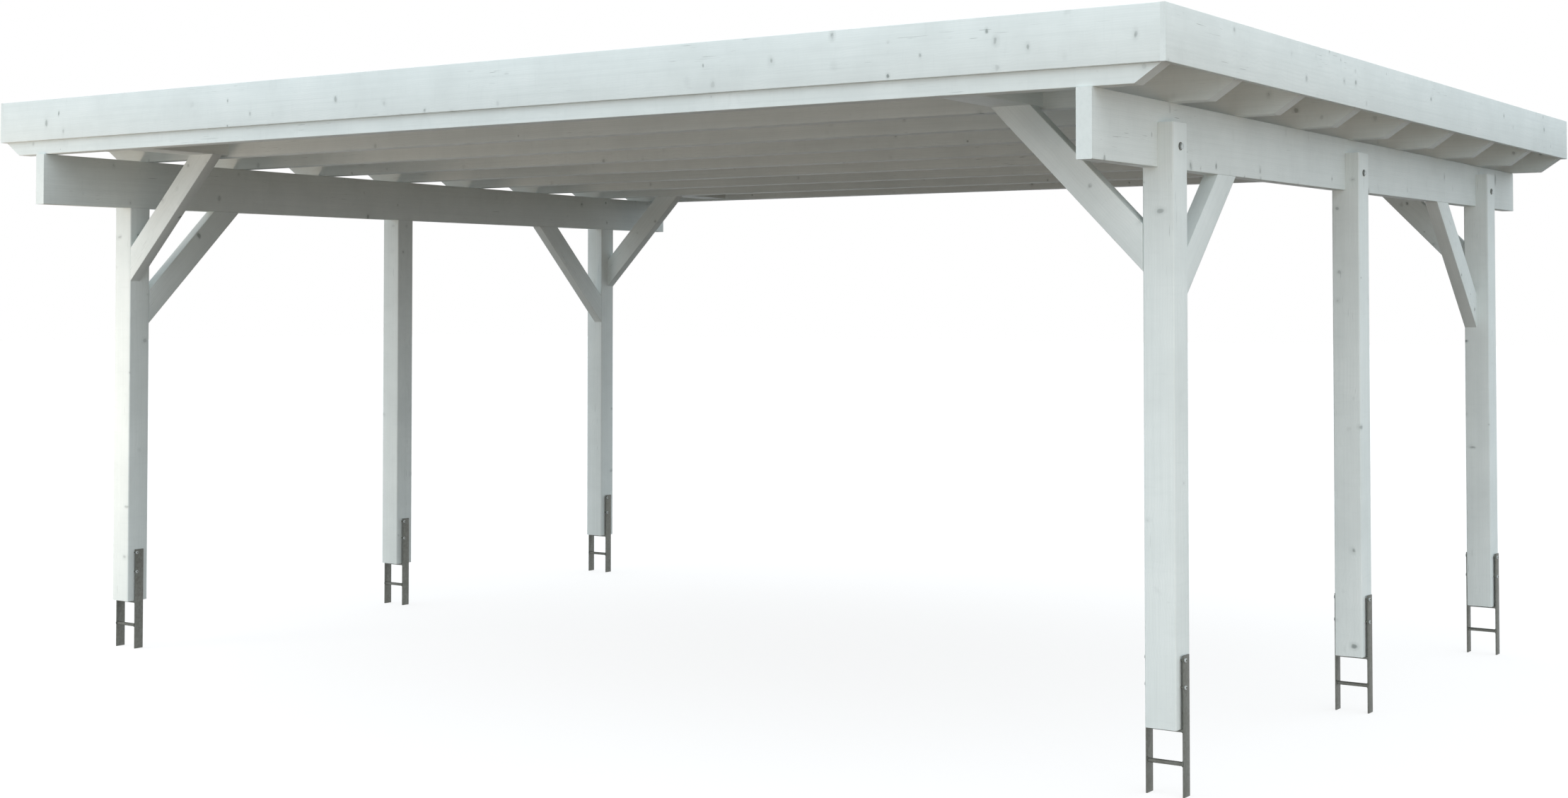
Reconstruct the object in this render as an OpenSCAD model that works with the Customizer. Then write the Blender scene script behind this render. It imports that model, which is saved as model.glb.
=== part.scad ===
// Flat-roofed double carport of whitewashed timber on steel post anchors.
// Front faces -Y, +X is right, +Z is up. Z = 0 is the underside of the anchor strips.

/* [Posts] */
// Side of a square post
post_s = 120; // [100:1:140]
// Width of the eased edges of a post
post_ease = 4; // [2:0.5:10]
// Height of the posts' lower ends above the anchors' lower ends
post_foot = 240; // [200:1:300]
// Clear width between the left and right posts
bay_w = 5596; // [4800:2:6200]
// Distance from the front posts to the back posts, centre to centre
row_span = 3729; // [3200:1:4400]
// How far the middle posts stand behind the half-way line between the rows
middle_back = 23; // [-60:1:60]
// Height of a post's outer tongue above its shoulder
tongue_h = 160; // [120:1:180]

/* [Anchors] */
// Width of the flat steel strips
strip_w = 50; // [40:1:80]
// Thickness of the strips
strip_t = 6; // [4:0.5:8]
// Length of the strips
strip_len = 500; // [420:5:640]
// Clearance between a strip and the post
strip_gap = 8; // [1:0.5:12]
// Thickness of the seat plate under the post
seat_t = 10; // [4:0.5:14]
// Diameter of the round rung between the strips
rung_d = 16; // [8:0.5:20]
// Height of the rung above the strips' lower ends
rung_z = 118; // [60:1:170]

/* [Purlins] */
// Thickness of a purlin
purlin_t = 60; // [45:1:75]
// Height of the purlins' level underside
purlin_z = 2231; // [2000:5:2500]
// Height of a purlin half-way along
purlin_h = 221; // [200:1:280]
// How far the purlins' ends stay behind the fascias' outer faces
purlin_in = 9; // [5:1:20]
// Fall of the roof to the back, in percent
fall = 1; // [0.5:0.1:2]

/* [Rafters] */
// Thickness of a rafter
rafter_t = 70; // [50:1:90]
// Height of a rafter
rafter_h = 200; // [170:1:215]
// Length of the slanting cut under a rafter's end
cut_l = 104; // [60:1:140]
// Height of that cut
cut_h = 69; // [40:1:90]
// Last bay between rafters, as a share of the others
last_bay = 0.9; // [0.8:0.05:1]

/* [Braces] */
// Thickness of a brace
brace_t = 60; // [45:1:60]
// Width of a brace, square to its length
brace_h = 120; // [90:1:140]
// Rise of the front side braces from their feet to the purlins
front_rise = 584; // [450:1:750]
// Rise of the back side braces from their feet to the purlins
back_rise = 605; // [450:1:750]
// Rise of the front cross braces from their feet to the trimmers' undersides
cross_rise = 620; // [480:1:750]
// Thickness of the flat trimmers over the cross braces
trimmer_t = 60; // [40:1:90]
// Height of the trimmers' undersides above the rafters' undersides
trimmer_up = 9; // [0:1:30]

/* [Fascias and roof] */
// Height of the fascia boards
fascia_h = 197; // [180:1:230]
// Thickness of the fascia boards
fascia_t = 20; // [14:1:28]
// Height of the fascias' lower edges above the rafters' undersides
fascia_up = 66; // [50:1:80]
// From the posts' outer faces to the side fascias' outer faces
side_over = 214; // [180:1:300]
// From the front posts' faces to the front fascia's outer face
front_over = 527; // [440:1:640]
// From the back posts' faces to the back fascia's outer face
back_over = 539; // [440:1:640]
// Thickness of the roof boards
deck_t = 20; // [16:1:26]
// Thickness of the roof sheet
sheet_t = 3; // [2:0.5:5]
// Height of the sheet's turned-up edges
sheet_up = 28; // [15:1:32]

/* [Hidden] */
$fn = 48;
post_x = bay_w/2 + post_s/2;
roof_w = bay_w + 2*post_s + 2*side_over;
roof_d = row_span + post_s + front_over + back_over;
front_y = -roof_d/2 + front_over + post_s/2;
back_y = roof_d/2 - back_over - post_s/2;
middle_y = (front_y + back_y)/2 + middle_back;
purlin_y = roof_d/2 - purlin_in;
in_x = roof_w/2 - fascia_t;
in_y = roof_d/2 - fascia_t;
fall_a = atan(fall/100);
roof_z = purlin_z + purlin_h;
// Keeps the leaning roof centred front to back
roof_y = -(2*fascia_up + fascia_h)*sin(fall_a)/2;
rafter_step = (2*in_y - rafter_t)/(7 + last_bay);
slant = brace_h*sqrt(2);
strip_x = post_s/2 + strip_gap;
cross_foot = head_z(-1) - cross_rise;

// Height of the roof's bearing plane at a place along the depth
function plane_z(y) = roof_z - (y - roof_y)*tan(fall_a);
function rafter_y(i) = i == 9 ? in_y - rafter_t/2 : -in_y + rafter_t/2 + (i - 1)*rafter_step;

// Puts a piece drawn on the roof's bearing plane into place
module on_roof() { translate([0, roof_y, roof_z]) rotate([-fall_a, 0, 0]) children(); }
module on_side(s) { if (s < 0) mirror([1, 0, 0]) children(); else children(); }
module on_end(e) { if (e < 0) mirror([0, 1, 0]) children(); else children(); }

// A square post with eased edges; its inner half is cut down to a shoulder for the purlin
module post(s, y) {
  color("whitesmoke") on_side(s) difference() {
    translate([post_x, y, post_foot])
      linear_extrude(height = purlin_z + tongue_h - post_foot)
        polygon([[-post_s/2 + post_ease, -post_s/2], [post_s/2 - post_ease, -post_s/2],
          [post_s/2, -post_s/2 + post_ease], [post_s/2, post_s/2 - post_ease],
          [post_s/2 - post_ease, post_s/2], [-post_s/2 + post_ease, post_s/2],
          [-post_s/2, post_s/2 - post_ease], [-post_s/2, -post_s/2 + post_ease]]);
    translate([bay_w/2 - 1, y - post_s, purlin_z])
      cube([purlin_t + 1, 2*post_s, tongue_h + 1]);
  }
}

// A welded anchor: two strips beside the post, a seat plate below it and a rung near the front
module anchor(s, y) {
  color("dimgray") translate([s*post_x, y, 0]) union() {
    for (k = [-1, 1]) translate([k*(strip_x + strip_t/2) - strip_t/2, -strip_w/2, 0])
      cube([strip_t, strip_w, strip_len]);
    translate([-strip_x - strip_t/2, -strip_w/2, post_foot - seat_t])
      cube([2*strip_x + strip_t, strip_w, seat_t]);
    translate([-strip_x - strip_t/2, -strip_w/2 + rung_d/2 - 2, rung_z]) rotate([0, 90, 0])
      cylinder(d = rung_d, h = 2*strip_x + strip_t);
  }
}

// A purlin on edge: level below, falling to the back above
module purlin(s) {
  color("gainsboro") on_side(s) translate([bay_w/2, 0, 0]) rotate([90, 0, 90])
    linear_extrude(height = purlin_t)
      polygon([[-purlin_y, purlin_z], [purlin_y, purlin_z], [purlin_y, plane_z(purlin_y)],
        [-purlin_y, plane_z(-purlin_y)]]);
}

// A rafter across both purlins, cut back at a slant under each end
module rafter(i) {
  color("whitesmoke") on_roof() translate([0, rafter_y(i) + rafter_t/2, 0]) rotate([90, 0, 0])
    linear_extrude(height = rafter_t)
      polygon([[-in_x + cut_l, 0], [in_x - cut_l, 0], [in_x, cut_h], [in_x, rafter_h],
        [-in_x, rafter_h], [-in_x, cut_h]]);
}

// A cross brace's place along the depth, and its head's height and inner edge,
// at the front (e = -1) or back (e = 1)
function cross_y(e) = (e < 0 ? front_y : back_y) + e*(post_s - brace_t)/2;
function head_z(e) = plane_z(cross_y(e)) + trimmer_up;
function head_x(e) = bay_w/2 - (head_z(e) - cross_foot);

// A flat block between two rafters, over the head of a cross brace
module trimmer(s, e) {
  near = e < 0 ? rafter_y(1) + rafter_t/2 : rafter_y(8) + rafter_t/2;
  far = e < 0 ? rafter_y(2) - rafter_t/2 : rafter_y(9) - rafter_t/2;
  color("gainsboro") on_roof() on_side(s) translate([head_x(e), near, trimmer_up])
    cube([slant, far - near, trimmer_t]);
}

// A slanting brace from a corner post to the trimmer above, flush with the post's outer face
module cross_brace(s, e) {
  top = head_z(e) + 5;
  color("gainsboro") difference() {
    on_side(s) translate([0, cross_y(e) + brace_t/2, 0]) rotate([90, 0, 0])
      linear_extrude(height = brace_t) polygon([[bay_w/2, cross_foot], [bay_w/2, cross_foot + slant],
        [bay_w/2 - (top - cross_foot - slant), top], [bay_w/2 - (top - cross_foot), top]]);
    on_roof() translate([-roof_w, -roof_d, trimmer_up]) cube([2*roof_w, 2*roof_d, 100]);
  }
}

// A slanting brace from a corner post to the underside of the purlin
module side_brace(s, e) {
  foot = (e < 0 ? -front_y : back_y) - post_s/2;
  rise = e < 0 ? front_rise : back_rise;
  color("gainsboro") on_side(s) on_end(e) translate([bay_w/2, 0, 0]) rotate([90, 0, 90])
    linear_extrude(height = brace_t)
      polygon([[foot, purlin_z - rise], [foot, purlin_z - rise + slant],
        [foot - rise + slant, purlin_z], [foot - rise, purlin_z]]);
}

// Front and back boards stand between the side boards
module end_fascia(e) {
  color("whitesmoke") on_roof() translate([-in_x, e < 0 ? -roof_d/2 : in_y, fascia_up])
    cube([2*in_x, fascia_t, fascia_h]);
}

module side_fascia(s) {
  color("whitesmoke") on_roof() translate([s < 0 ? -roof_w/2 : in_x, -roof_d/2, fascia_up])
    cube([fascia_t, roof_d, fascia_h]);
}

// Boarding on the rafters, inside the fascias
module roof_boards() {
  color("burlywood") on_roof() translate([-in_x, -in_y, rafter_h]) cube([2*in_x, 2*in_y, deck_t]);
}

// One sheet over the boards with its edges turned up against the fascias
module roof_sheet() {
  color("dimgray") on_roof() translate([0, 0, rafter_h + deck_t]) difference() {
    translate([-in_x, -in_y, 0]) cube([2*in_x, 2*in_y, sheet_t + sheet_up]);
    translate([-in_x + sheet_t, -in_y + sheet_t, sheet_t])
      cube([2*(in_x - sheet_t), 2*(in_y - sheet_t), sheet_up + 1]);
  }
}

post(-1, front_y);  // front_left_post
post(1, front_y);  // front_right_post
post(-1, middle_y);  // middle_left_post
post(1, middle_y);  // middle_right_post
post(-1, back_y);  // back_left_post
post(1, back_y);  // back_right_post
anchor(-1, front_y);  // front_left_anchor
anchor(1, front_y);  // front_right_anchor
anchor(-1, middle_y);  // middle_left_anchor
anchor(1, middle_y);  // middle_right_anchor
anchor(-1, back_y);  // back_left_anchor
anchor(1, back_y);  // back_right_anchor
purlin(-1);  // left_purlin
purlin(1);  // right_purlin
rafter(1);  // rafter_1
rafter(2);  // rafter_2
rafter(3);  // rafter_3
rafter(4);  // rafter_4
rafter(5);  // rafter_5
rafter(6);  // rafter_6
rafter(7);  // rafter_7
rafter(8);  // rafter_8
rafter(9);  // rafter_9
trimmer(-1, -1);  // front_left_trimmer
trimmer(1, -1);  // front_right_trimmer
trimmer(-1, 1);  // back_left_trimmer
trimmer(1, 1);  // back_right_trimmer
cross_brace(-1, -1);  // front_left_cross_brace
cross_brace(1, -1);  // front_right_cross_brace
cross_brace(-1, 1);  // back_left_cross_brace
cross_brace(1, 1);  // back_right_cross_brace
side_brace(-1, -1);  // front_left_side_brace
side_brace(1, -1);  // front_right_side_brace
side_brace(-1, 1);  // back_left_side_brace
side_brace(1, 1);  // back_right_side_brace
end_fascia(-1);  // front_fascia
end_fascia(1);  // back_fascia
side_fascia(-1);  // left_fascia
side_fascia(1);  // right_fascia
roof_boards();
roof_sheet();
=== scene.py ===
import itertools
import math
import random

import bmesh
import bpy
from mathutils import Matrix, Vector


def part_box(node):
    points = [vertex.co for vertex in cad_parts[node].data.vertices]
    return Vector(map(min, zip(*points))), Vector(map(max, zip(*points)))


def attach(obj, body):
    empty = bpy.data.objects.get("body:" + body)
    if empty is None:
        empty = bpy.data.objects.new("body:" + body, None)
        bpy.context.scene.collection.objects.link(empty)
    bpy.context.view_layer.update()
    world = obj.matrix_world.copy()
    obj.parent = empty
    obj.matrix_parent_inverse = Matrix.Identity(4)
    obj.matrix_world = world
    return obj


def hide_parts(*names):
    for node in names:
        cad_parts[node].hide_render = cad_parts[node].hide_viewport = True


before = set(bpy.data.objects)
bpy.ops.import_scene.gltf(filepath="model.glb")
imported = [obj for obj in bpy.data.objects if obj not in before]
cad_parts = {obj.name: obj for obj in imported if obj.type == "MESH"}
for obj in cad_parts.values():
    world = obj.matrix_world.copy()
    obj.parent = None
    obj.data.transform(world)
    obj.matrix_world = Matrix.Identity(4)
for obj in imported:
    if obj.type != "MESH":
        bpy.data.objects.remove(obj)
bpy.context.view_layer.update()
bpy.context.scene.view_settings.view_transform = "Standard"

# POST ANCHORS
# Each post stands on a ladder of galvanised flat steel: two strips up its sides, a seat plate under its
# foot and a round rung that a footing grips. The sheared strips have slightly rounded edges, and beads
# of weld hold the rung and the plate between them.
POSTS = [(end, side) for end in ("front", "middle", "back") for side in ("left", "right")]
STRIP_W = 0.050         # width of the strips, and depth of the seat plate
STRIP_EDGE = 0.0010     # rounding of the strips' sheared edges
STRIP_INNER = 0.068     # inner face of a strip from the post's middle
SEAT_UNDER = 0.230      # underside of the seat plate
RUNG_RADIUS = 0.008
RUNG_HEIGHT = 0.118     # axis of the rung above the strips' lower ends
RUNG_FORWARD = 0.019    # axis of the rung in front of the post's middle
RUNG_PROUD = RUNG_FORWARD + RUNG_RADIUS - STRIP_W / 2   # how far the rung stands out in front of the strips
BEAD_RADIUS = 0.0030
BEAD_OVER = 0.0008      # middle of the weld bead outside the rung's surface
ONE_FACE = math.radians(35)     # faces that turn by less than this are shaded as one


def paint(code):
    """An sRGB hex colour as linear red, green, blue and a full alpha."""
    parts = [int(code[i:i + 2], 16) / 255 for i in (1, 3, 5)]
    return [c / 12.92 if c <= 0.04045 else ((c + 0.055) / 1.055) ** 2.4 for c in parts] + [1.0]


def add(tree, kind, inputs=None, stops=None, **settings):
    """One node with its settings; an input takes a value or another node's output, stops fill a ramp.

    A Mix node of colours has its share at input 0, its colours at inputs 6 and 7, and its result at output 2.
    """
    made = tree.nodes.new(kind)
    for name, value in settings.items():
        setattr(made, name, value)
    for name, value in (inputs or {}).items():
        if isinstance(value, bpy.types.NodeSocket):
            tree.links.new(value, made.inputs[name])
        else:
            made.inputs[name].default_value = value
    for i, (place, colour) in enumerate(stops or []):
        ramp = made.color_ramp.elements
        stop = ramp[i] if i < len(ramp) else ramp.new(place)
        stop.position, stop.color = place, colour
    return made


def only(*pieces):
    """Selects these pieces and nothing else; the first one is the active one."""
    bpy.ops.object.select_all(action="DESELECT")
    for piece in pieces:
        piece.select_set(True)
    bpy.context.view_layer.objects.active = pieces[0]


def cad_copy(node, name):
    """A piece that starts from a solid's own shape, with its triangles merged back into flat faces."""
    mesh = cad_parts[node].data.copy()
    mesh.materials.clear()
    piece = bpy.data.objects.new(name, mesh)
    bpy.context.scene.collection.objects.link(piece)
    only(piece)
    bpy.ops.mesh.customdata_custom_splitnormals_clear()
    bpy.ops.object.mode_set(mode="EDIT")
    bpy.ops.mesh.select_all(action="SELECT")
    bpy.ops.mesh.remove_doubles(threshold=0.00002)
    bpy.ops.mesh.dissolve_limited(angle_limit=math.radians(0.3))
    bpy.ops.object.mode_set(mode="OBJECT")
    return piece


def ease(piece, wanted, size, segments):
    """Rounds those edges of a piece for which wanted(edge) is true."""
    only(piece)
    bpy.context.tool_settings.mesh_select_mode = (False, True, False)
    bpy.ops.object.mode_set(mode="EDIT")
    bpy.ops.mesh.select_all(action="DESELECT")
    mesh = bmesh.from_edit_mesh(piece.data)
    for edge in mesh.edges:
        edge.select_set(wanted(edge))
    bmesh.update_edit_mesh(piece.data)
    bpy.ops.mesh.bevel(offset=size, segments=segments, affect="EDGES", clamp_overlap=True)
    bpy.ops.object.mode_set(mode="OBJECT")


def outer_corner(edge, least=math.radians(60)):
    """True for a convex edge between two faces that turn by at least that angle."""
    return len(edge.link_faces) == 2 and edge.is_convex and edge.calc_face_angle(0.0) > least


# Hot-dip galvanised steel, weathered dull: grey zinc with faint crystal patches a centimetre across,
# clouds of pale oxide, dark runs down the strips and a soft, broken gloss.
galvanised = bpy.data.materials.new("weathered_galvanised_steel")
galvanised.use_nodes = True
tree = galvanised.node_tree
skin = tree.nodes["Principled BSDF"].inputs
place = add(tree, "ShaderNodeTexCoord").outputs["Object"]
crystals = add(tree, "ShaderNodeTexVoronoi", {"Vector": place, "Scale": 1 / 0.011, "Randomness": 1.0})
clouds = add(tree, "ShaderNodeTexNoise",
             {"Vector": place, "Scale": 1 / 0.060, "Detail": 5.0, "Roughness": 0.6})
streak_place = add(tree, "ShaderNodeMapping", {"Vector": place, "Scale": (1.0, 1.0, 0.12)})
streaks = add(tree, "ShaderNodeTexNoise",
              {"Vector": streak_place.outputs[0], "Scale": 1 / 0.008, "Detail": 3.0})
shine = add(tree, "ShaderNodeSeparateColor", {"Color": crystals.outputs["Color"]})
zinc = add(tree, "ShaderNodeValToRGB", {"Fac": shine.outputs[0]},
           [(0.0, paint("#6C6D67")), (1.0, paint("#787A75"))])
oxide_share = add(tree, "ShaderNodeMapRange",
                  {"Value": clouds.outputs["Fac"], "From Min": 0.48, "From Max": 0.72, "To Max": 0.32})
oxide = add(tree, "ShaderNodeMix",
            {0: oxide_share.outputs[0], 6: zinc.outputs["Color"], 7: paint("#8B8E8A")}, data_type="RGBA")
run_share = add(tree, "ShaderNodeMapRange",
                {"Value": streaks.outputs["Fac"], "From Min": 0.55, "From Max": 0.75, "To Max": 0.24})
run = add(tree, "ShaderNodeMix",
          {0: run_share.outputs[0], 6: oxide.outputs[2], 7: paint("#4E4C44")}, data_type="RGBA")
gloss = add(tree, "ShaderNodeMapRange", {"Value": clouds.outputs["Fac"], "From Min": 0.3, "From Max": 0.7,
                                         "To Min": 0.42, "To Max": 0.62})
relief = add(tree, "ShaderNodeBump", {"Height": clouds.outputs["Fac"], "Strength": 0.25, "Distance": 0.0006})
tree.links.new(run.outputs[2], skin["Base Color"])
tree.links.new(gloss.outputs[0], skin["Roughness"])
tree.links.new(relief.outputs[0], skin["Normal"])
skin["Metallic"].default_value = 0.75

for end, side in POSTS:
    node = f"{end}_{side}_anchor"
    low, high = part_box(node)
    middle = (low + high) / 2
    middle.y += RUNG_PROUD / 2
    ladder = cad_copy(node, f"{node}_steel")
    ease(ladder, outer_corner, STRIP_EDGE, 2)
    beads = []
    for k in (-1, 1):
        weld_x = middle.x + k * STRIP_INNER
        # A ring of weld round each end of the rung
        bpy.ops.mesh.primitive_torus_add(major_radius=RUNG_RADIUS + BEAD_OVER, minor_radius=BEAD_RADIUS,
                                         major_segments=28, minor_segments=8,
                                         location=(weld_x, middle.y - RUNG_FORWARD, RUNG_HEIGHT),
                                         rotation=(0, math.pi / 2, 0))
        beads.append(bpy.context.object)
        # A straight bead under each end of the seat plate
        bpy.ops.mesh.primitive_cylinder_add(vertices=10, radius=BEAD_RADIUS, depth=STRIP_W,
                                            location=(weld_x, middle.y, SEAT_UNDER),
                                            rotation=(math.pi / 2, 0, 0))
        bead = bpy.context.object
        ease(bead, outer_corner, BEAD_RADIUS / 2, 2)
        beads.append(bead)
    only(ladder, *beads)
    bpy.ops.object.transform_apply(location=True, rotation=True, scale=True)
    bpy.ops.object.join()
    bpy.ops.object.shade_smooth_by_angle(angle=ONE_FACE)
    ladder.data.materials.append(galvanised)
    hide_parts(node)
    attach(ladder, "root")

# ANCHOR BOLTS
# Two zinc-plated steel bolts go through both strips and the post, one above the other. Their flat heads lie
# on the left-hand strip, and a washer and a hexagon nut draw each one tight on the right-hand strip.
BOLT_HEIGHTS = (0.388, 0.484)
BOLT_FORWARD = 0.019    # in front of the post's middle, in line with the rung
STRIP_OUTER = 0.074     # outer face of a strip from the post's middle
THREAD = 0.008
THREAD_STEP = THREAD * 0.06     # from a groove of the thread to its next crest
GROOVE, CREST, TIP = 0.86, 1 / 0.86, 0.95   # what each of these steps does to the thread's radius
WASHER_T, WASHER_RADIUS = 0.0016, 0.008
NUT_T, NUT_FLATS = 0.0068, 0.013
FLAT_HEAD_T, FLAT_HEAD_RADIUS = 0.0016, 0.0085
SOCKET_RIM, SOCKET_DEPTH = 0.0048, 0.0011   # the rim that is left round the socket, and the socket's depth


def turned(start, end, radius, sides, chamfer, steel):
    """A disc, or a hexagon where it has six sides, along X from start to end with chamfered rims."""
    bpy.ops.object.select_all(action="DESELECT")
    bpy.ops.mesh.primitive_cylinder_add(vertices=sides, radius=radius, depth=end - start,
                                        location=((start + end) / 2, 0, 0), rotation=(0, math.pi / 2, 0))
    part = bpy.context.object
    bpy.ops.object.transform_apply(location=True, rotation=True, scale=True)
    ease(part, lambda edge: abs(edge.verts[0].co.x - edge.verts[1].co.x) < 1e-6, chamfer, 2)
    part.data.materials.append(steel)
    return part


def pick_end(part, way):
    """Edit mode on a turned part, with only its end face towards that way along X selected."""
    only(part)
    bpy.context.tool_settings.mesh_select_mode = (False, False, True)
    bpy.ops.object.mode_set(mode="EDIT")
    bpy.ops.mesh.select_all(action="DESELECT")
    mesh = bmesh.from_edit_mesh(part.data)
    for face in mesh.faces:
        face.select_set(face.normal.x * way > 0.99)
    bmesh.update_edit_mesh(part.data)


def as_one(parts, name):
    """Joins the parts of a bolt or screw into one piece."""
    only(*parts)
    bpy.ops.object.join()
    bpy.ops.object.shade_smooth_by_angle(angle=ONE_FACE)
    parts[0].name = name
    return parts[0]


# Electroplated zinc on steel: brighter and bluer than the strips, with a fine sheen that handling has
# dulled in patches a few millimetres across.
zinc_plate = bpy.data.materials.new("zinc_plated_steel")
zinc_plate.use_nodes = True
tree = zinc_plate.node_tree
skin = tree.nodes["Principled BSDF"].inputs
place = add(tree, "ShaderNodeTexCoord").outputs["Object"]
handling = add(tree, "ShaderNodeTexNoise", {"Vector": place, "Scale": 1 / 0.006, "Detail": 4.0})
plate = add(tree, "ShaderNodeValToRGB", {"Fac": handling.outputs["Fac"]},
            [(0.3, paint("#B2B8B8")), (0.7, paint("#CDD3D3"))])
gloss = add(tree, "ShaderNodeMapRange", {"Value": handling.outputs["Fac"], "From Min": 0.3, "From Max": 0.7,
                                         "To Min": 0.40, "To Max": 0.56})
tree.links.new(plate.outputs["Color"], skin["Base Color"])
tree.links.new(gloss.outputs[0], skin["Roughness"])
skin["Metallic"].default_value = 0.55

nut_start = STRIP_OUTER + WASHER_T
nut_end = nut_start + NUT_T
# The washer is drawn in the darker strip steel so that it shows as a dark rim beside the bright nut: painted
# shade on a real washer.
washer = turned(STRIP_OUTER, nut_start, WASHER_RADIUS, sides=32, chamfer=0.0003, steel=galvanised)
nut = turned(nut_start, nut_end, NUT_FLATS / math.sqrt(3), sides=6, chamfer=0.0008, steel=zinc_plate)
# The shank is drawn out into a few turns of thread past the nut
shank = turned(-STRIP_OUTER, nut_end, THREAD / 2, sides=20, chamfer=0.0002, steel=galvanised)
pick_end(shank, 1)
for step in (GROOVE, CREST, GROOVE, CREST, GROOVE, TIP):
    bpy.ops.mesh.extrude_region_move(TRANSFORM_OT_translate={"value": (THREAD_STEP, 0, 0)})
    bpy.ops.transform.resize(value=(1, step, step))
bpy.ops.object.mode_set(mode="OBJECT")
# The flat head has a round socket for the key
flat_head = turned(-STRIP_OUTER - FLAT_HEAD_T, -STRIP_OUTER, FLAT_HEAD_RADIUS, sides=32, chamfer=0.0006,
                   steel=zinc_plate)
pick_end(flat_head, -1)
bpy.ops.mesh.inset(thickness=SOCKET_RIM)
bpy.ops.mesh.extrude_region_move(TRANSFORM_OT_translate={"value": (SOCKET_DEPTH, 0, 0)})
bpy.ops.object.mode_set(mode="OBJECT")
strip_bolt = as_one([nut, washer, shank, flat_head], "strip_bolt")
for end, side in POSTS:
    low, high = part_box(f"{end}_{side}_post")
    middle = (low + high) / 2
    pair = []
    for height in BOLT_HEIGHTS:
        bolt = strip_bolt.copy()
        bolt.data = strip_bolt.data.copy()
        bpy.context.scene.collection.objects.link(bolt)
        bolt.data.transform(Matrix.Translation((middle.x, middle.y - BOLT_FORWARD, height)))
        pair.append(bolt)
    only(*pair)
    bpy.ops.object.join()
    pair[0].name = f"{end}_{side}_anchor_bolts"
    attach(pair[0], "root")
bpy.data.objects.remove(strip_bolt)

# POSTS
# Six planed spruce posts, 120 mm square with eased edges. The inner half of each top is sawn away to a
# shoulder that carries the purlin, and the outer half stays as a tongue beside it.
POST_EASE = 0.0012
PITH_NEAR, PITH_FAR = 0.16, 0.28    # a log's pith from the middle of the timber sawn from it
LOG_APART = 7.31                    # metres of grain from one timber's log to the next one's
logs = itertools.count(1)
chance = random.Random(11)


def store_grain(mesh, places, along):
    """Keeps each point's place in its log, and which faces are sawn across the grain, for the material."""
    mesh.attributes.new("grain", "FLOAT_VECTOR", "POINT").data.foreach_set("vector", places)
    cut = [1.0 if abs(face.normal.dot(along)) > 0.5 else 0.0 for face in mesh.polygons]
    mesh.attributes.new("sawn_end", "FLOAT", "FACE").data.foreach_set("value", cut)


def lay_grain(piece, along):
    """Gives a timber a log of its own: metres along the grain, and across it from a pith set by chance."""
    side = Vector((1, 0, 0)) if abs(along.z) > 0.99 else along.cross((0, 0, 1)).normalized()
    other = along.cross(side)
    start = next(logs) * LOG_APART
    turn = chance.uniform(0, 2 * math.pi)
    reach = chance.uniform(PITH_NEAR, PITH_FAR)
    pith = (reach * math.cos(turn), reach * math.sin(turn))
    middle = sum((Vector(corner) for corner in piece.bound_box), Vector()) / 8
    places = []
    for vertex in piece.data.vertices:
        off = vertex.co - middle
        places += [off.dot(along) + start, off.dot(side) + pith[0], off.dot(other) + pith[1]]
    store_grain(piece.data, places, along)


def timber(node, along, rounding):
    """A planed timber in a solid's place: long edges eased, ends left as sawn, grain along its length."""
    piece = cad_copy(node, f"{node}_timber")
    along = Vector(along).normalized()

    def long_edge(edge):
        run = edge.verts[1].co - edge.verts[0].co
        return abs(run.normalized().dot(along)) > 0.999 and outer_corner(edge, math.radians(30))

    ease(piece, long_edge, rounding, 3)
    bpy.ops.object.shade_smooth_by_angle(angle=ONE_FACE)
    lay_grain(piece, along)
    piece.data.materials.append(spruce)
    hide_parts(node)
    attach(piece, "root")


# Whitewashed planed spruce: a thin white glaze over wood, dull and nearly even. The harder late wood of
# the rings and the knots take less of it, and show through as faint grey lines and soft grey spots.
# Rings are about 4 mm apart on such timber, drawn here at 8 mm so that they still show across a room.
RING = 0.008
BRANCH_STEP = 0.135     # mean distance between branches along a log
BRANCH_TURN = 0.48      # mean angle between branches round the pith, in radians
BRANCH_REACH = 0.060    # length of a branch that takes no glaze
KNOT_RADIUS = 0.0150    # of the largest knots
KNOT_CORE = 0.40        # share of a knot's radius that is dark all over
KNOT_HALO = 1.9         # radius of the grey wood round a knot, in knots
spruce = bpy.data.materials.new("whitewashed_planed_spruce")
spruce.use_nodes = True
tree = spruce.node_tree
skin = tree.nodes["Principled BSDF"].inputs
grain = add(tree, "ShaderNodeAttribute", attribute_name="grain").outputs["Vector"]
sawn = add(tree, "ShaderNodeAttribute", attribute_name="sawn_end").outputs["Fac"]
planed = add(tree, "ShaderNodeMath", {0: 1.0, 1: sawn}, operation="SUBTRACT").outputs[0]
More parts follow.
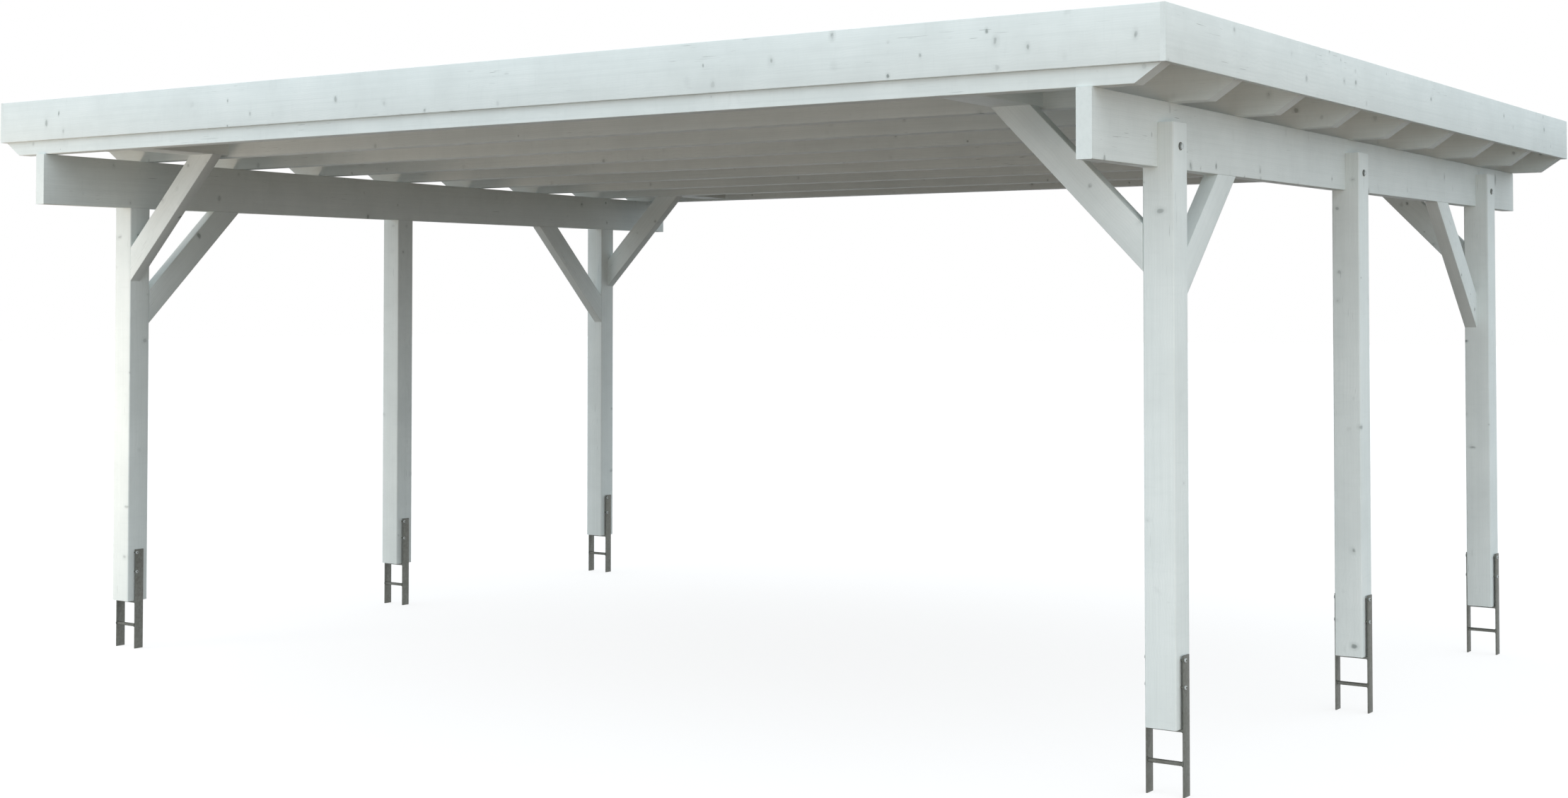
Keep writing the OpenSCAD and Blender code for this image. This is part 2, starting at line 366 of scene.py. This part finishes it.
# Each unevenness of the wood, by how often it comes in a metre along the grain and across it
uneven = {}
for name, in_a_metre, detail, roughness in (
        ("pith", (0.55, 0.0, 0.0), 2.0, 0.5),       # bends of the pith, 1.8 m long
        ("rim", (34.0, 24.0, 24.0), 3.0, 0.5),      # ragged rims of knots, 30 by 40 mm
        ("ring", (1.6, 12.0, 12.0), 3.0, 0.5),      # waves of the rings, 620 by 80 mm
        ("fibre", (1.2, 75.0, 75.0), 4.0, 0.6),     # streaks along the fibres, 830 by 13 mm
        ("pore", (7.0, 380.0, 380.0), 2.0, 0.5),    # pores, 140 by 2.6 mm
        ("planer", (65.0, 9.0, 9.0), 2.0, 0.5),     # waves left by the planer, 15 by 110 mm
        ("glaze", (4.0, 4.0, 4.0), 4.0, 0.6),       # clouds of glaze, 250 mm
        ("check", (12.0, 280.0, 280.0), 0.0, 0.5),  # drying checks, 80 by 3.6 mm before they are thinned
        ("group", (2.2, 14.0, 14.0), 0.0, 0.5)):    # groups of checks, 450 by 70 mm
    spot = add(tree, "ShaderNodeVectorMath", {0: grain, 1: in_a_metre}, operation="MULTIPLY")
    uneven[name] = add(tree, "ShaderNodeTexNoise", {"Vector": spot.outputs[0], "Scale": 1.0, "Detail": detail,
                                                    "Roughness": roughness})
# The pith wanders a little along a log, which makes long arches on the flat-sawn faces
sway = add(tree, "ShaderNodeVectorMath",
           {0: uneven["pith"].outputs["Color"], 1: (0.0, 0.06, 0.06), 2: (0.0, -0.03, -0.03)},
           operation="MULTIPLY_ADD")
bent = add(tree, "ShaderNodeVectorMath", {0: grain, 1: sway.outputs[0]}, operation="ADD").outputs[0]
axes = add(tree, "ShaderNodeSeparateXYZ", {0: bent}).outputs
flat = add(tree, "ShaderNodeVectorMath", {0: bent, 1: (0.0, 1.0, 1.0)}, operation="MULTIPLY")
out = add(tree, "ShaderNodeVectorMath", {0: flat.outputs[0]}, operation="LENGTH").outputs["Value"]
turn = add(tree, "ShaderNodeMath", {0: axes[2], 1: axes[1]}, operation="ARCTAN2")
# Knots: branches grow straight out from the pith, so a face that cuts one across shows a round spot and a
# face that runs beside it a spike across the grain
branch_along = add(tree, "ShaderNodeMath", {0: axes[0], 1: 1 / BRANCH_STEP}, operation="MULTIPLY")
branch_turn = add(tree, "ShaderNodeMath", {0: turn.outputs[0], 1: 1 / BRANCH_TURN}, operation="MULTIPLY")
branch_out = add(tree, "ShaderNodeMath", {0: out, 1: 1 / BRANCH_REACH}, operation="MULTIPLY")
branch_place = add(tree, "ShaderNodeCombineXYZ", {0: branch_along.outputs[0], 1: branch_turn.outputs[0],
                                                  2: branch_out.outputs[0]}).outputs[0]
one_each = {"Vector": branch_place, "Scale": 1.0, "Randomness": 1.0}
branch = add(tree, "ShaderNodeTexVoronoi", one_each)
between = add(tree, "ShaderNodeTexVoronoi", one_each, feature="DISTANCE_TO_EDGE")
alone = add(tree, "ShaderNodeMapRange",
            {"Value": between.outputs["Distance"], "From Min": 0.02, "From Max": 0.16},
            interpolation_type="SMOOTHSTEP")
aside = add(tree, "ShaderNodeVectorMath", {0: branch_place, 1: branch.outputs["Position"]},
            operation="SUBTRACT")
arc = add(tree, "ShaderNodeMath", {0: out, 1: BRANCH_TURN}, operation="MULTIPLY")
metres = add(tree, "ShaderNodeCombineXYZ", {0: BRANCH_STEP, 1: arc.outputs[0], 2: BRANCH_REACH * 0.40})
aside = add(tree, "ShaderNodeVectorMath", {0: aside.outputs[0], 1: metres.outputs[0]}, operation="MULTIPLY")
aside = add(tree, "ShaderNodeVectorMath", {0: aside.outputs[0]}, operation="LENGTH")
ragged = add(tree, "ShaderNodeMath", {0: uneven["rim"].outputs["Fac"], 1: 0.018, 2: -0.009},
             operation="MULTIPLY_ADD")
knot_far = add(tree, "ShaderNodeMath", {0: aside.outputs["Value"], 1: ragged.outputs[0]}, operation="ADD")
luck = add(tree, "ShaderNodeSeparateColor", {"Color": branch.outputs["Color"]})
knot_size = add(tree, "ShaderNodeMapRange", {"Value": luck.outputs[0], "From Min": 0.40, "From Max": 1.0,
                                             "To Min": 0.0, "To Max": KNOT_RADIUS})
core_size = add(tree, "ShaderNodeMath", {0: knot_size.outputs[0], 1: KNOT_CORE}, operation="MULTIPLY")
halo_size = add(tree, "ShaderNodeMath", {0: knot_size.outputs[0], 1: KNOT_HALO}, operation="MULTIPLY")
knot = add(tree, "ShaderNodeMapRange", {"Value": knot_far.outputs[0], "From Min": knot_size.outputs[0],
                                        "From Max": core_size.outputs[0]}, interpolation_type="SMOOTHSTEP")
halo = add(tree, "ShaderNodeMapRange", {"Value": knot_far.outputs[0], "From Min": halo_size.outputs[0],
                                        "From Max": core_size.outputs[0], "To Max": 0.28},
           interpolation_type="SMOOTHSTEP")
knot_show = add(tree, "ShaderNodeMath", {0: knot.outputs[0], 1: halo.outputs[0]}, operation="MAXIMUM")
knot_dark = add(tree, "ShaderNodeMapRange", {"Value": luck.outputs[1], "To Min": 0.18, "To Max": 0.85})
knot_share = knot_show.outputs[0]
for part in (knot_dark.outputs[0], alone.outputs[0], planed):
    knot_share = add(tree, "ShaderNodeMath", {0: knot_share, 1: part}, operation="MULTIPLY").outputs[0]
swirl = add(tree, "ShaderNodeMapRange", {"Value": knot_far.outputs[0], "From Min": 0.050, "From Max": 0.004,
                                         "To Max": 0.007}, interpolation_type="SMOOTHSTEP")
# Rings, counted outwards from the pith and pushed aside by the knots
wobble = add(tree, "ShaderNodeMath", {0: uneven["ring"].outputs["Fac"], 1: 0.010, 2: swirl.outputs[0]},
             operation="MULTIPLY_ADD")
radius = add(tree, "ShaderNodeMath", {0: out, 1: wobble.outputs[0]}, operation="ADD")
count = add(tree, "ShaderNodeMath", {0: radius.outputs[0], 1: 1 / RING}, operation="MULTIPLY")
year = add(tree, "ShaderNodeMath", {0: count.outputs[0]}, operation="FRACT")
LATE_WOOD = ((0.0, 0.15), (0.40, 0.0), (0.82, 1.0), (1.0, 0.15))    # share of late wood through a year's ring
late = add(tree, "ShaderNodeValToRGB", {"Fac": year.outputs[0]},
           [(part, (share, share, share, 1)) for part, share in LATE_WOOD])
# Wide and narrow streaks of thinner glaze along the fibres, faint waves left across them by the planer,
# and clouds where the brush left more or less
glaze = uneven["glaze"].outputs["Fac"]
strength = add(tree, "ShaderNodeMapRange", {"Value": glaze, "From Min": 0.35, "From Max": 0.65,
                                            "To Min": 0.02, "To Max": 0.10})
sawn_strength = add(tree, "ShaderNodeMath", {0: sawn, 1: -0.7, 2: 1.0}, operation="MULTIPLY_ADD")
strength = add(tree, "ShaderNodeMath", {0: strength.outputs[0], 1: sawn_strength.outputs[0]},
               operation="MULTIPLY")
ring_show = add(tree, "ShaderNodeMath", {0: late.outputs["Color"], 1: strength.outputs[0]},
                operation="MULTIPLY")
fibre_show = add(tree, "ShaderNodeMapRange", {"Value": uneven["fibre"].outputs["Fac"], "From Min": 0.44,
                                              "From Max": 0.74, "To Max": 0.13})
pore_show = add(tree, "ShaderNodeMapRange", {"Value": uneven["pore"].outputs["Fac"], "From Min": 0.50,
                                             "From Max": 0.75, "To Max": 0.07})
planer_show = add(tree, "ShaderNodeMapRange", {"Value": uneven["planer"].outputs["Fac"], "From Min": 0.56,
                                               "From Max": 0.74, "To Max": 0.06})
lines = add(tree, "ShaderNodeMath", {0: ring_show.outputs[0], 1: fibre_show.outputs[0]}, operation="ADD")
lines = add(tree, "ShaderNodeMath", {0: lines.outputs[0], 1: pore_show.outputs[0]}, operation="ADD",
            use_clamp=True)
thin = add(tree, "ShaderNodeMath", {0: lines.outputs[0], 1: planer_show.outputs[0]}, operation="ADD",
           use_clamp=True)
wash = add(tree, "ShaderNodeValToRGB", {"Fac": glaze},
           [(0.30, paint("#DDE3E1")), (0.55, paint("#E4EAE8")), (0.75, paint("#E9EEEC"))])
lined = add(tree, "ShaderNodeMix",
            {0: thin.outputs[0], 6: wash.outputs["Color"], 7: paint("#BCC4C2")}, data_type="RGBA")
# Here and there a group of drying checks, short dark hairlines along the fibres
check_line = add(tree, "ShaderNodeMapRange", {"Value": uneven["check"].outputs["Fac"], "From Min": 0.76,
                                              "From Max": 0.83, "To Max": 0.55})
group_show = add(tree, "ShaderNodeMapRange",
                 {"Value": uneven["group"].outputs["Fac"], "From Min": 0.63, "From Max": 0.69})
check_share = check_line.outputs[0]
for part in (group_show.outputs[0], planed):
    check_share = add(tree, "ShaderNodeMath", {0: check_share, 1: part}, operation="MULTIPLY").outputs[0]
checked = add(tree, "ShaderNodeMix", {0: check_share, 6: lined.outputs[2], 7: paint("#8F9693")},
              data_type="RGBA")
knotted = add(tree, "ShaderNodeMix", {0: knot_share, 6: checked.outputs[2], 7: paint("#7E8683")},
              data_type="RGBA")
end_share = add(tree, "ShaderNodeMath", {0: sawn, 1: 0.06}, operation="MULTIPLY")
ended = add(tree, "ShaderNodeMix", {0: end_share.outputs[0], 6: knotted.outputs[2], 7: paint("#A9AFAB")},
            data_type="RGBA")
rough = add(tree, "ShaderNodeMapRange", {"Value": lines.outputs[0], "To Min": 0.60, "To Max": 0.72})
height = add(tree, "ShaderNodeMath", {0: uneven["pore"].outputs["Fac"], 1: 0.5, 2: lines.outputs[0]},
             operation="MULTIPLY_ADD")
relief = add(tree, "ShaderNodeBump", {"Height": height.outputs[0], "Strength": 0.15, "Distance": 0.0007})
tree.links.new(ended.outputs[2], skin["Base Color"])
tree.links.new(rough.outputs[0], skin["Roughness"])
tree.links.new(relief.outputs[0], skin["Normal"])
skin["IOR"].default_value = 1.46

for end, side in POSTS:
    timber(f"{end}_{side}_post", (0, 0, 1), POST_EASE)

# PURLINS
# Two planed spruce beams on edge, one along each side, resting on the posts' shoulders. They are level
# below and sawn to the fall of the roof above.
BEAM_EASE = 0.003
for side in ("left", "right"):
    timber(f"{side}_purlin", (0, 1, 0), BEAM_EASE)

# PURLIN SCREWS
# One thick hexagon-headed wood screw holds each purlin to a post's tongue. It is driven from outside, with a
# wide washer under its head, and ends inside the purlin.
SCREW_HEIGHT = 2.306
SCREW_RADIUS = 0.006
SCREW_REACH = 0.105     # length of the screw below its washer
SCREW_POINT = 0.0040    # how far the screw's end is rounded
SCREW_WASHER_T, SCREW_WASHER_RADIUS = 0.0024, 0.015
SCREW_HEAD_T, SCREW_HEAD_FLATS = 0.0075, 0.019
TONGUE_OUTER = 0.060    # outer face of a tongue from the post's middle
head_start = TONGUE_OUTER + SCREW_WASHER_T
# The washer is drawn in the darker strip steel so that it shows as the dark crescent of shade round the head:
# painted shade on a real washer.
washer = turned(TONGUE_OUTER, head_start, SCREW_WASHER_RADIUS, sides=32, chamfer=0.0004, steel=galvanised)
head = turned(head_start, head_start + SCREW_HEAD_T, SCREW_HEAD_FLATS / math.sqrt(3), sides=6, chamfer=0.0009,
              steel=zinc_plate)
shank = turned(TONGUE_OUTER - SCREW_REACH, head_start, SCREW_RADIUS, sides=20, chamfer=SCREW_POINT,
               steel=galvanised)
tongue_screw = as_one([head, washer, shank], "tongue_screw")
for end, side in POSTS:
    low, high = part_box(f"{end}_{side}_post")
    middle = (low + high) / 2
    screw = tongue_screw.copy()
    screw.data = tongue_screw.data.copy()
    screw.name = f"{end}_{side}_purlin_screw"
    bpy.context.scene.collection.objects.link(screw)
    if side == "left":
        screw.data.transform(Matrix.Rotation(math.pi, 4, "Z"))
    screw.data.transform(Matrix.Translation((middle.x, middle.y, SCREW_HEIGHT)))
    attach(screw, "root")
bpy.data.objects.remove(tongue_screw)

# RAFTERS
# Nine planed spruce rafters lie across both purlins. Each end is cut back at a slant below, behind the
# side fascia.
for i in range(1, 10):
    timber(f"rafter_{i}", (1, 0, 0), BEAM_EASE)

# TRIMMERS AND BRACES
# Flat blocks of planed spruce fill the outer bays between two rafters and take the heads of the cross braces,
# which rise from the corner posts at 45 degrees. Side braces rise from the same posts to the purlins.
for end, inwards in (("front", 1), ("back", -1)):
    for side, across in (("left", 1), ("right", -1)):
        timber(f"{end}_{side}_trimmer", (0, 1, 0), BEAM_EASE)
        timber(f"{end}_{side}_cross_brace", (across, 0, 1), BEAM_EASE)
        timber(f"{end}_{side}_side_brace", (0, inwards, 1), BEAM_EASE)

# ROOF BOARDS
# Matched spruce boards nailed across the rafters from front to back, edge to edge, with a small V along
# every joint on the underside. They are whitewashed like the frame.
BOARDS = 51
BOARD_T = 0.020
BOARD_GAP = 0.0008      # clear width of a joint
BOARD_V = 0.004         # chamfer on each side of a joint
BOARD_LOGS = 400        # metres of grain before the boards' logs, past those of the frame
FALL = math.atan(0.01)  # the roof falls 1 in 100 to the back
low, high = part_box("roof_boards")
board_w = (high.x - low.x) / BOARDS
board_l = (high.y - low.y - BOARD_T * math.sin(FALL)) / math.cos(FALL)


def joint_edge(edge):
    """True for the two long edges below on a board that still lies level."""
    first, last = (vertex.co for vertex in edge.verts)
    return first.z < 0 and last.z < 0 and abs(first.y - last.y) > board_l / 2


bpy.ops.object.select_all(action="DESELECT")
bpy.ops.mesh.primitive_cube_add(size=1, location=(0, 0, 0))
boards = bpy.context.object
boards.name = "roof_boards_timber"
boards.scale = (board_w - BOARD_GAP, board_l, BOARD_T)
boards.location = (-(BOARDS - 1) / 2 * board_w, 0, 0)
bpy.ops.object.transform_apply(location=True, rotation=True, scale=True)
ease(boards, joint_edge, BOARD_V, 1)
row = boards.modifiers.new("row", "ARRAY")
row.count = BOARDS
row.use_relative_offset = False
row.use_constant_offset = True
row.constant_offset_displace = (board_w, 0, 0)
only(boards)
bpy.ops.object.modifier_apply(modifier="row")
# Each board has a log of its own, with the pith above it and a little to one side
board_logs = []
for _ in range(BOARDS):
    start = BOARD_LOGS + chance.uniform(0, 40)
    above = chance.uniform(0.08, 0.20)
    aside = chance.uniform(-0.06, 0.06)
    board_logs.append((start, aside, above))
places = []
for vertex in boards.data.vertices:
    i = min(BOARDS - 1, int(vertex.co.x / board_w + BOARDS / 2))
    start, aside, above = board_logs[i]
    middle_x = (i - (BOARDS - 1) / 2) * board_w
    places += [vertex.co.y + start, vertex.co.x - middle_x + aside, vertex.co.z + above]
store_grain(boards.data, places, Vector((0, 1, 0)))
boards.rotation_euler = (-FALL, 0, 0)
boards.location = (low + high) / 2
only(boards)
bpy.ops.object.transform_apply(location=True, rotation=True, scale=True)
boards.data.materials.append(spruce)
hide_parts("roof_boards")
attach(boards, "root")

# FASCIAS
# Four planed spruce boards close the roof's edges, nailed to the rafters. The front and back boards
# stand between the side boards, so the side boards' ends show at the corners.
FASCIA_EASE = 0.002
for name, along in (("front", (1, 0, 0)), ("back", (1, 0, 0)), ("left", (0, 1, 0)), ("right", (0, 1, 0))):
    timber(f"{name}_fascia", along, FASCIA_EASE)

# ROOF SHEET
# One rubber roofing sheet lies glued over the boards, turned up behind the fascias. Two welted seams
# run down the fall, where the sheet was joined from three strips.
SHEET_T = 0.0030
SHEET_H = 0.0311        # from the sheet's underside to the tops of its turned-up edges
SHEET_CURVE = 0.009     # inner rounding where the sheet turns up
SHEET_RIM = 0.0010      # rounding of the tops
SEAM_X = 1.04           # the seams from the middle of the roof
SEAM_W, SEAM_T = 0.080, 0.0016
SEAM_EDGE = 0.0012      # rounding of a seam's upper edges
SEAM_SHORT = 0.026      # how much shorter than the sheet the seams are
sheet = cad_copy("roof_sheet", "roof_sheet_rubber")
low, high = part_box("roof_sheet")
middle = (low + high) / 2


def turned_up(edge):
    """True for the inner edges where the sheet turns up."""
    return len(edge.link_faces) == 2 and not edge.is_convex and edge.calc_face_angle(0.0) > math.radians(30)


def rim(edge):
    """True for the outer corners along the tops of the turned-up edges."""
    heights = [vertex.co.z + FALL * vertex.co.y for vertex in edge.verts]
    return outer_corner(edge) and min(heights) > middle.z + SHEET_H / 3


ease(sheet, turned_up, SHEET_CURVE, 4)
ease(sheet, rim, SHEET_RIM, 2)
seams = []
for x in (-SEAM_X, SEAM_X):
    bpy.ops.object.select_all(action="DESELECT")
    bpy.ops.mesh.primitive_cube_add(size=1)
    seam = bpy.context.object
    seam.scale = (SEAM_W, high.y - low.y - SEAM_SHORT, SEAM_T)
    bpy.ops.object.transform_apply(scale=True)
    ease(seam, lambda edge: all(vertex.co.z > 0 for vertex in edge.verts), SEAM_EDGE, 2)
    seam.rotation_euler = (-FALL, 0, 0)
    seam.location = (x, middle.y, middle.z - SHEET_H / 2 + SHEET_T + SEAM_T / 2)
    seams.append(seam)
only(*seams)
bpy.ops.object.transform_apply(location=True, rotation=True, scale=True)
only(sheet, *seams)
bpy.ops.object.join()
bpy.ops.object.shade_smooth_by_angle(angle=ONE_FACE)

# Vulcanised rubber sheet, weathered: charcoal, matt, slightly rippled, with a grey film of dust that
# rain has gathered in blotches.
rubber = bpy.data.materials.new("weathered_rubber_sheet")
rubber.use_nodes = True
tree = rubber.node_tree
skin = tree.nodes["Principled BSDF"].inputs
place = add(tree, "ShaderNodeTexCoord").outputs["Object"]
ripple = add(tree, "ShaderNodeTexNoise", {"Vector": place, "Scale": 1 / 0.55, "Detail": 2.0})
blotch = add(tree, "ShaderNodeTexNoise",
             {"Vector": place, "Scale": 1 / 0.90, "Detail": 6.0, "Roughness": 0.62, "Distortion": 0.6})
grit = add(tree, "ShaderNodeTexNoise", {"Vector": place, "Scale": 1 / 0.004, "Detail": 2.0})
film = add(tree, "ShaderNodeMapRange", {"Value": blotch.outputs["Fac"], "From Min": 0.40, "From Max": 0.70,
                                        "To Min": 0.10, "To Max": 0.62})
speck = add(tree, "ShaderNodeMath", {0: film.outputs[0], 1: grit.outputs["Fac"]}, operation="MULTIPLY")
dusty = add(tree, "ShaderNodeMix", {0: speck.outputs[0], 6: paint("#343638"), 7: paint("#77766F")},
            data_type="RGBA")
rough = add(tree, "ShaderNodeMapRange", {"Value": film.outputs[0], "To Min": 0.58, "To Max": 0.86})
wave = add(tree, "ShaderNodeMath", {0: grit.outputs["Fac"], 1: 0.06, 2: ripple.outputs["Fac"]},
           operation="MULTIPLY_ADD")
relief = add(tree, "ShaderNodeBump", {"Height": wave.outputs[0], "Strength": 0.5, "Distance": 0.006})
tree.links.new(dusty.outputs[2], skin["Base Color"])
tree.links.new(rough.outputs[0], skin["Roughness"])
tree.links.new(relief.outputs[0], skin["Normal"])
skin["IOR"].default_value = 1.5
sheet.data.materials.append(rubber)
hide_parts("roof_sheet")
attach(sheet, "root")

# FLOOR, LIGHT AND CAMERA
# A pale floor that the camera sees as white, with the object's soft shadow on it, under an even cool
# dome. A warm lamp stands close to the front left post. Two long soft boxes stand low in front and at the
# front right, and reach in under the roof. The ground gives back a little warm light.
FLOOR_SIZE = 160
FLOOR_DROP = 0.0005     # keeps the floor clear of the anchors' lower ends


def seen(tree):
    """An output that is 1 where a ray shows the background, straight or in metal or glass, and else 0."""
    path = add(tree, "ShaderNodeLightPath").outputs
    show = path["Is Camera Ray"]
    for way in ("Is Glossy Ray", "Is Transmission Ray"):
        show = add(tree, "ShaderNodeMath", {0: show, 1: path[way]}, operation="MAXIMUM").outputs[0]
    return show


bpy.ops.object.select_all(action="DESELECT")
bpy.ops.mesh.primitive_plane_add(size=FLOOR_SIZE, location=(0, 0, -FLOOR_DROP))
floor = bpy.context.object
floor.name = "floor"
# Matt floor paint: seen as white that only the object's shadow greys, while the light that it gives back to
# the object is that of dark, warm ground.
ground = bpy.data.materials.new("pale_floor")
ground.use_nodes = True
tree = ground.node_tree
tree.nodes.clear()
white = add(tree, "ShaderNodeEmission", {"Color": paint("#FFFFFF"), "Strength": 0.80})
shaded = add(tree, "ShaderNodeBsdfDiffuse", {"Color": paint("#818181")})
seen_floor = add(tree, "ShaderNodeAddShader", {0: white.outputs[0], 1: shaded.outputs[0]})
lit_floor = add(tree, "ShaderNodeBsdfDiffuse", {"Color": paint("#3F3A34")})
both = add(tree, "ShaderNodeMixShader", {0: seen(tree), 1: lit_floor.outputs[0], 2: seen_floor.outputs[0]})
add(tree, "ShaderNodeOutputMaterial", {"Surface": both.outputs[0]})
floor.data.materials.append(ground)

world = bpy.data.worlds.new("studio_dome")
bpy.context.scene.world = world
world.use_nodes = True
tree = world.node_tree
tree.nodes.clear()
dome = add(tree, "ShaderNodeBackground", {"Color": (0.903, 1.0, 1.062, 1), "Strength": 1.328})
backdrop = add(tree, "ShaderNodeBackground", {"Color": paint("#FFFFFF"), "Strength": 1.0})
both = add(tree, "ShaderNodeMixShader", {0: seen(tree), 1: dome.outputs[0], 2: backdrop.outputs[0]})
add(tree, "ShaderNodeOutputWorld", {"Surface": both.outputs[0]})

for name, shape, size, place, aim, watts, tint in (
        ("corner_lamp", "DISK", (1.0, 1.0), (-3.75, -3.45, 1.25), (-2.86, -1.93, 1.15), 20.8,
         (1.0, 0.832, 0.688)),
        ("front_soft_box", "RECTANGLE", (9.0, 1.4), (0.0, -9.0, 0.85), (0.0, 0.0, 1.75), 82.0,
         (1.0, 0.985, 0.980)),
        ("corner_soft_box", "RECTANGLE", (9.0, 1.4), (7.6, -5.6, 0.70), (1.2, 0.0, 1.75), 98.8,
         (1.0, 0.785, 0.611))):
    bpy.ops.object.light_add(type="AREA", location=place)
    lamp = bpy.context.object
    lamp.name = name
    lamp.data.shape = shape
    lamp.data.size, lamp.data.size_y = size
    lamp.data.energy = watts
    lamp.data.color = tint
    lamp.rotation_euler = (Vector(aim) - Vector(place)).to_track_quat("-Z", "Y").to_euler()
    lamp.visible_camera = False
    lamp.visible_glossy = False

bpy.ops.object.camera_add(location=(6.0781, -8.8979, 1.7424), rotation=(math.pi / 2 + 0.0271, 0, 0.6071))
camera = bpy.context.object
camera.name = "photo_camera"
camera.data.sensor_width = 36.0
camera.data.lens = 48.83
camera.data.shift_y = -0.0973
camera.data.clip_end = 400.0
bpy.context.scene.camera = camera
